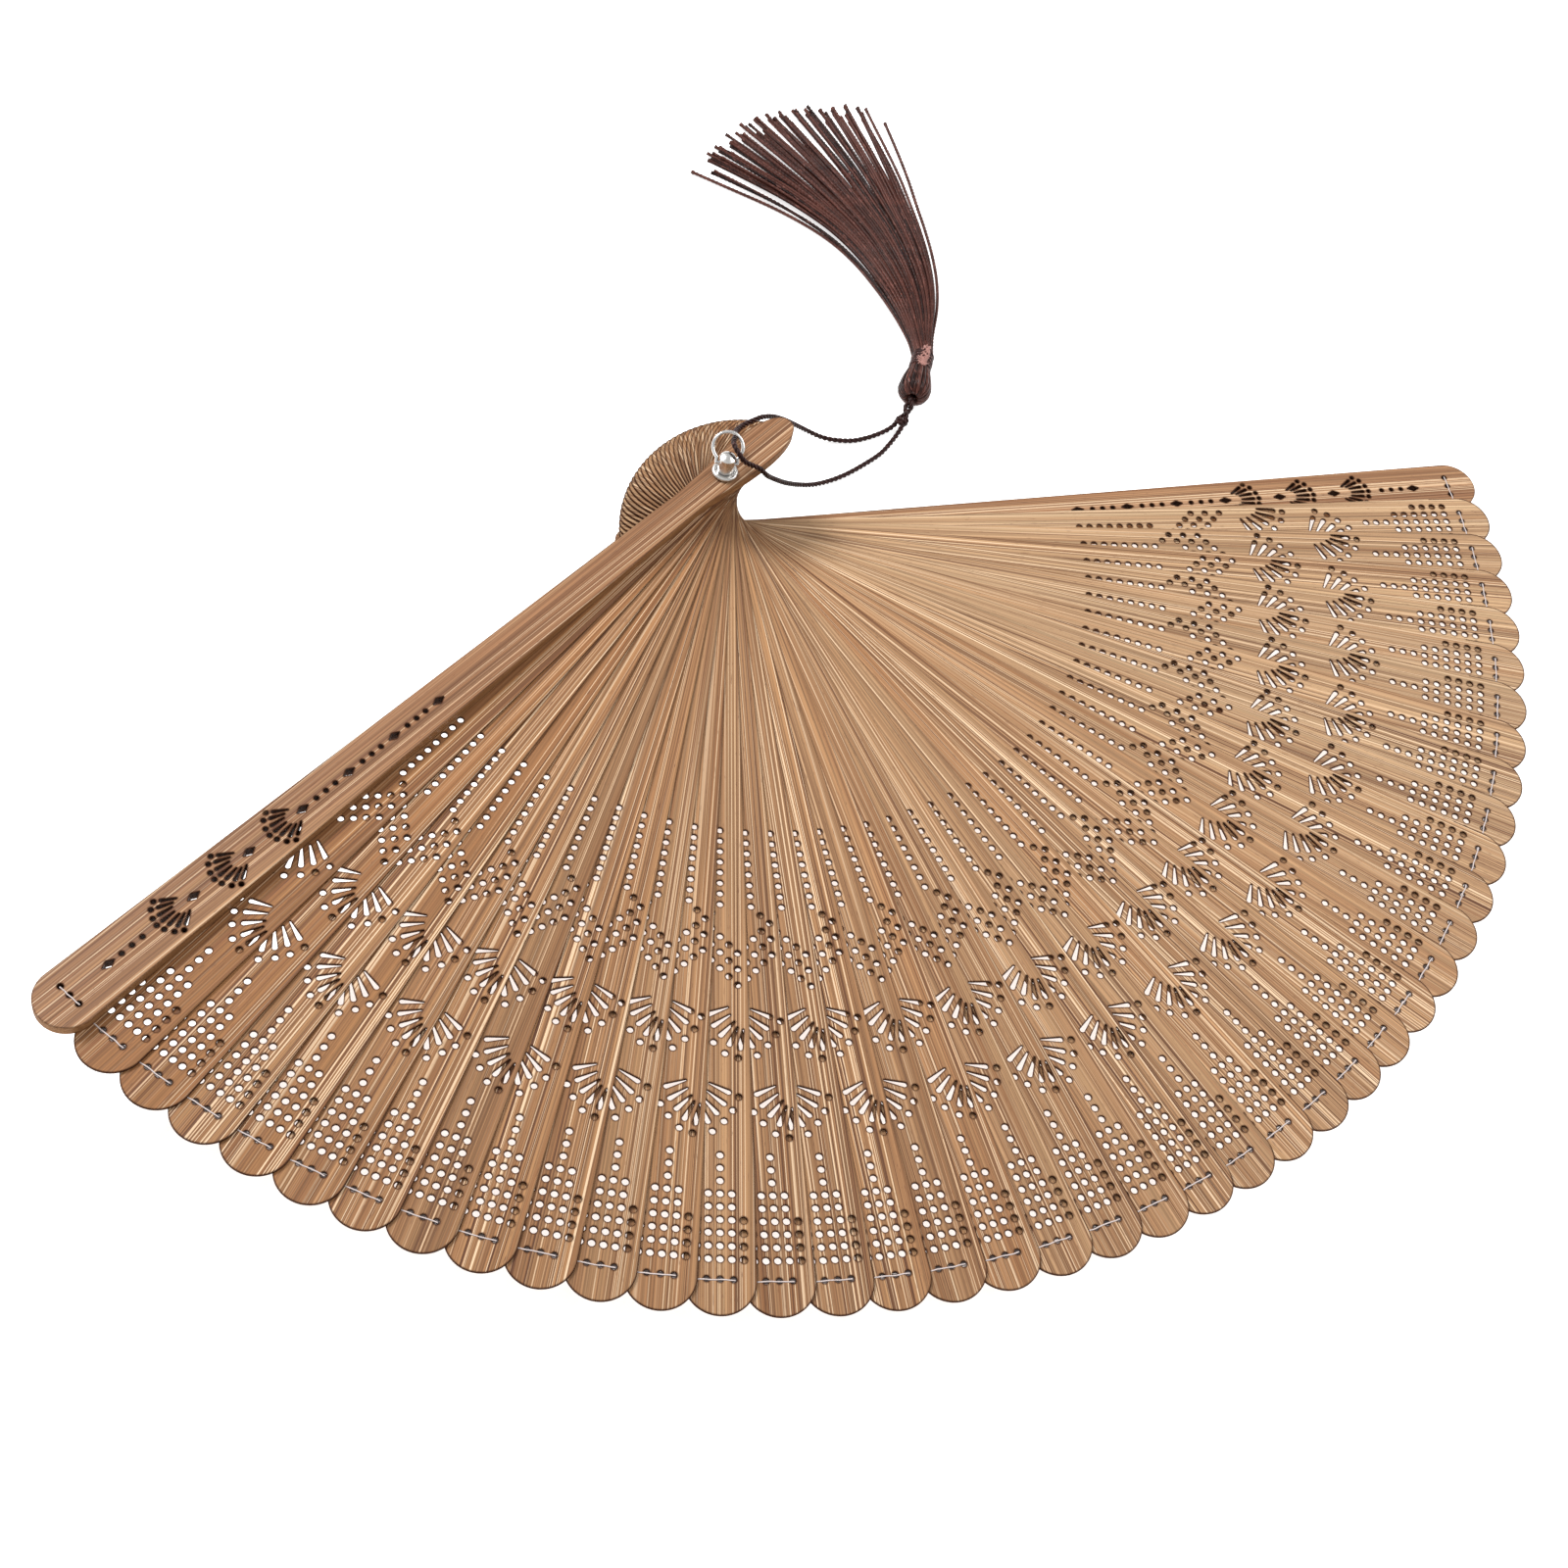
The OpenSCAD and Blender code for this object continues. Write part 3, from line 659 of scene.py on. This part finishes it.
def make_binding(material):
    """Thread wound round the tassel's neck, with the fluffy crossed ends of its knot on one side."""
    along, side, up = axes_along(TASSEL_YAW, -TASSEL_DIP)
    rng = random.Random(5)
    turns = 11
    count = turns * 28
    path = []
    for i in range(count):
        f = i / (count - 1)
        angle = 2 * math.pi * turns * f
        r = BINDING_R - 0.25 * MM + 0.07 * MM * math.sin(5.3 * f * turns)
        x = HEAD_L + BINDING_L * (0.04 + 0.92 * f) + 0.1 * MM * math.sin(angle * 0.5 + 1)
        path.append(CROWN + along * x + side * r * math.cos(angle) + up * r * math.sin(angle))
    tubes = Tubes()
    tubes.add(path, 0.31 * MM, 8, fibre_pitch=1.5 * MM, tone=-0.2)
    for i in range(34):
        middle = math.radians(rng.uniform(66, 102))
        x = HEAD_L + rng.uniform(-0.06, 1.0) * BINDING_L
        slant = rng.choice((-1, 1)) * rng.uniform(0.12, 0.3)
        reach = rng.uniform(0.5, 1.1) * MM
        bow = rng.uniform(0.02, 0.16) * MM
        path = []
        for f in np.linspace(-1, 1, 12):
            angle = middle + slant * f
            r = BINDING_R + 0.1 * MM + bow * (1 - f * f)
            down = x + reach * f
            path.append(CROWN + along * down + side * r * math.cos(angle) + up * r * math.sin(angle))
        tubes.add(path, 0.2 * MM, 6, fibre_pitch=0.8 * MM, tone=rng.uniform(0.9, 1.7))
    binding = tubes.piece("binding_wraps", material)
    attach(binding, "root")
    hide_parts("tassel_binding")
    return binding


def strand_path(u, layer, tip, clump, sway, rings):
    """One strand's path: u runs from the left edge of the skirt to the right, layer from -1 to 1.

    clump is where its tip ends up across, tip is how far down the skirt it reaches, as parts of one,
    and sway is a small wave's size and phase.
    """
    fine = 200
    left = evenly(catmull(SKIRT_LEFT, 12), fine)
    right = evenly(catmull(SKIRT_RIGHT, 12), fine)
    t = np.linspace(0, 1, fine)
    across = (u + (clump - u) * t**2.2)[:, None]
    flat = left * (1 - across) + right * across
    bulge = 10 * t**2 * 4 * across[:, 0] * (1 - across[:, 0])
    flat += bulge[:, None] * np.array((-0.30, 0.95))
    flat[:, 0] += sway[0] * t * np.sin(7 * t + sway[1])
    neck = 3.45 + layer * 2.2 * math.sqrt(max(0, 1 - (2 * u - 1) ** 2))
    settled = 0.62 + (layer + 1) * (0.95 - 0.55 * t)
    fall = np.clip(t / 0.42, 0, 1)
    fall = fall * fall * (3 - 2 * fall)
    height = neck * (1 - fall) + settled * fall
    path = np.column_stack([flat, height])[: max(20, int(fine * tip))]
    return evenly(path, rings) * MM


def make_skirt(material):
    """Twisted silk strands, gathered at the binding and spread in locks where they lie on the floor."""
    rng = random.Random(31)
    rings = 150
    loose = [0.0, 0.03, 0.042, 0.088, 0.1, 0.955, 1.0]
    locks = [0.13, 0.175, 0.245, 0.3, 0.37, 0.43, 0.5, 0.56, 0.63, 0.69, 0.75, 0.8, 0.86, 0.915]
    last = STRANDS_IN_LOCKS - 1
    places = loose + [
        0.12 + 0.805 * (j + rng.uniform(-0.3, 0.3)) / last for j in range(STRANDS_IN_LOCKS)
    ]
    tubes = Tubes()
    for j, u in enumerate(places):
        layer = (j * 0.618 * 2) % 2 - 1
        lock = u if u in loose else min(locks, key=lambda place: abs(place - u))
        clump = u + (lock - u) * rng.uniform(0.45, 0.85) + rng.uniform(-0.006, 0.006)
        tip = rng.uniform(0.93, 1.0)
        path = strand_path(u, layer, tip, clump, (rng.uniform(0, 0.7), rng.uniform(0, 6.3)), rings)
        f = np.linspace(0, 1, rings)
        radius = STRAND_D / 2 * (0.7 + 0.3 * np.clip(f / 0.25, 0, 1)) * rng.uniform(0.88, 1.08)
        radius = radius * (1 + 0.25 * np.clip((f - 0.985) / 0.01, 0, 1))
        tubes.add(path, radius, 6, fibre_pitch=2.4 * MM, tone=rng.random(), oval=0.2, oval_pitch=2.4 * MM)
    skirt = tubes.piece("skirt_strands", material)
    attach(skirt, "root")
    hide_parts("tassel_skirt")


# ---- Sticks ----

def dress(node, material):
    """Gives a CAD node one material."""
    frame["nodes"][node].data.materials.clear()
    frame["nodes"][node].data.materials.append(material)


def finish_sticks():
    """Gives every stick a bamboo of its own, so that grain and tone differ from stick to stick.

    Partly painted light: the leaves run from pale and bright beside the lower guard to red and dark beside
    the upper one, as the light falls across the fan, with a random tone of each leaf on top.
    """
    rng = random.Random(8)
    for k, node in enumerate(LEAVES, start=1):
        up_the_fan = k / len(LEAVES)
        # Painted light: warmth and brightness run with the leaf's place up the fan, as light falls across
        # it; the random parts are each leaf's own tone
        warmth_with_painted_light = 2.8 * up_the_fan - 1.5 + rng.uniform(-0.35, 0.35)
        brightness_with_painted_light = 1.20 - 0.44 * up_the_fan + rng.uniform(-0.06, 0.06)
        tones = leaf_tones(warmth_with_painted_light, brightness_with_painted_light)
        lines = rng.uniform(0.6, 1.0)
        dress(node, bamboo(f"bamboo_{k:02d}", k * STEP_ANGLE, k * 7.3, tones, lines, 0.42 * MM, LEAF_TAPER))
    for node, angle, seed in (("front_guard", OPEN_ANGLE, 401.0), ("back_guard", 0.0, 433.0)):
        name = f"bamboo_{node}"
        dress(node, bamboo(name, angle, seed, GUARD_TONES, 0.7, 0.5 * MM, GUARD_TAPER, sanded_edge=True))


def leaf_tones(warmth_with_painted_light, brightness_with_painted_light):
    """Dark, middle and light bamboo, from redder at a warmth of 1 to paler at -1, made brighter or darker
    by the brightness, where both carry painted light and a random tone.
    """
    return tuple(
        (r * brightness_with_painted_light, g * brightness_with_painted_light * (1 - 0.11 * warmth_with_painted_light), b * brightness_with_painted_light * (1 - 0.23 * warmth_with_painted_light))
        for r, g, b in LEAF_TONES
    )


def make_stitch(name, node, body, turn, start, material, rng):
    """White thread along the top of one stick, from start to its last hole, and tangled in each hole."""
    low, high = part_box(node)
    top = high.z + THREAD_THIN / 2
    to_world = Matrix.Rotation(turn, 4, "Z")
    tubes = Tubes()
    end = THREAD_PITCH + 0.35 * MM
    middle = THREAD_X + 0.12 * MM
    line = [(middle + rng.uniform(-0.09, 0.09) * MM, y, 0) for y in np.linspace(start, end, 9)]
    tubes.add(evenly(catmull(line, 4), 40), THREAD_W / 2, 4, fibre_pitch=1 * MM, tone=0.8)
    flat = np.array(tubes.points[0])
    flat[:, 2] *= THREAD_THIN / THREAD_W
    tubes.points[0] = flat + np.array((0, 0, top))
    depth = high.z - low.z
    for hole in (-1, 0, 1):
        y = -hole * THREAD_PITCH
        for i, across in enumerate((-0.48, -0.24, 0.0, 0.24, 0.48)):
            x = THREAD_X + (across + rng.uniform(-0.06, 0.06)) * MM
            half = math.sqrt(THREAD_HOLE_R ** 2 - across ** 2) * MM
            low_z = high.z - depth * rng.uniform(0.62, 0.68)
            bowed = x + rng.uniform(-0.08, 0.08) * MM
            fold = [(x, y - half, low_z), (bowed, y, low_z), (x, y + half, low_z)]
            # Painted shade: three folds on one side of each hole get tone 0, which the thread's material
            # paints near black, and the other two a low tone that paints them partly dark
            shade = 0.0 if i < 3 else rng.uniform(0.1, 0.35)
            tubes.add(catmull(fold, 5), 0.15 * MM, 6, fibre_pitch=0.7 * MM, tone=shade)
    tubes.points = [np.array([to_world @ Vector(p) for p in group]) for group in tubes.points]
    stitch = tubes.piece(name, material)
    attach(stitch, body)


def make_stitches(material):
    """The joining thread of every stick, from the edge that the next stick covers to its last hole."""
    rng = random.Random(77)
    start = -6.9 * MM
    make_stitch("stitch_00", "back_guard", "back_guard", 0.0, start, material, rng)
    for k, node in enumerate(LEAVES, start=1):
        make_stitch(f"stitch_{k:02d}", node, node, -k * STEP_ANGLE, start, material, rng)
    make_stitch("stitch_41", "front_guard", "root", -OPEN_ANGLE, -THREAD_PITCH, material, rng)


def finish_metal():
    """Plated wire for the ring, and turned metal for the rivet and its washers."""
    plated = polished_metal("plated_wire", (0.9, 0.89, 0.87), 0.12)
    turned = polished_metal("turned_rivet", (0.84, 0.82, 0.79), 0.2)
    for node, material in (
        ("tassel_ring", plated), ("pivot_pin", turned), ("top_washer", turned), ("tail_washer", turned),
    ):
        dress(node, material)


make_camera()
cord_material = silk("cord_silk", (0.004, 0.001, 0.001), (0.055, 0.017, 0.014), 0.02, 0.2)
cord, cord_path, cord_length = make_cord(cord_material)
knot = make_knot(cord_material)
tassel_material = silk("tassel_silk", (0.006, 0.001, 0.001), (0.125, 0.042, 0.03), 0.02, 0.6)
binding_material = silk("binding_silk", (0.03, 0.007, 0.006), (0.4, 0.2, 0.17), 0.08, 0.3)
head = make_head(tassel_material)
binding = make_binding(binding_material)
make_skirt(tassel_material)
make_floor()
light_scene()
finish_sticks()
finish_metal()
make_stitches(white_thread("white_thread"))
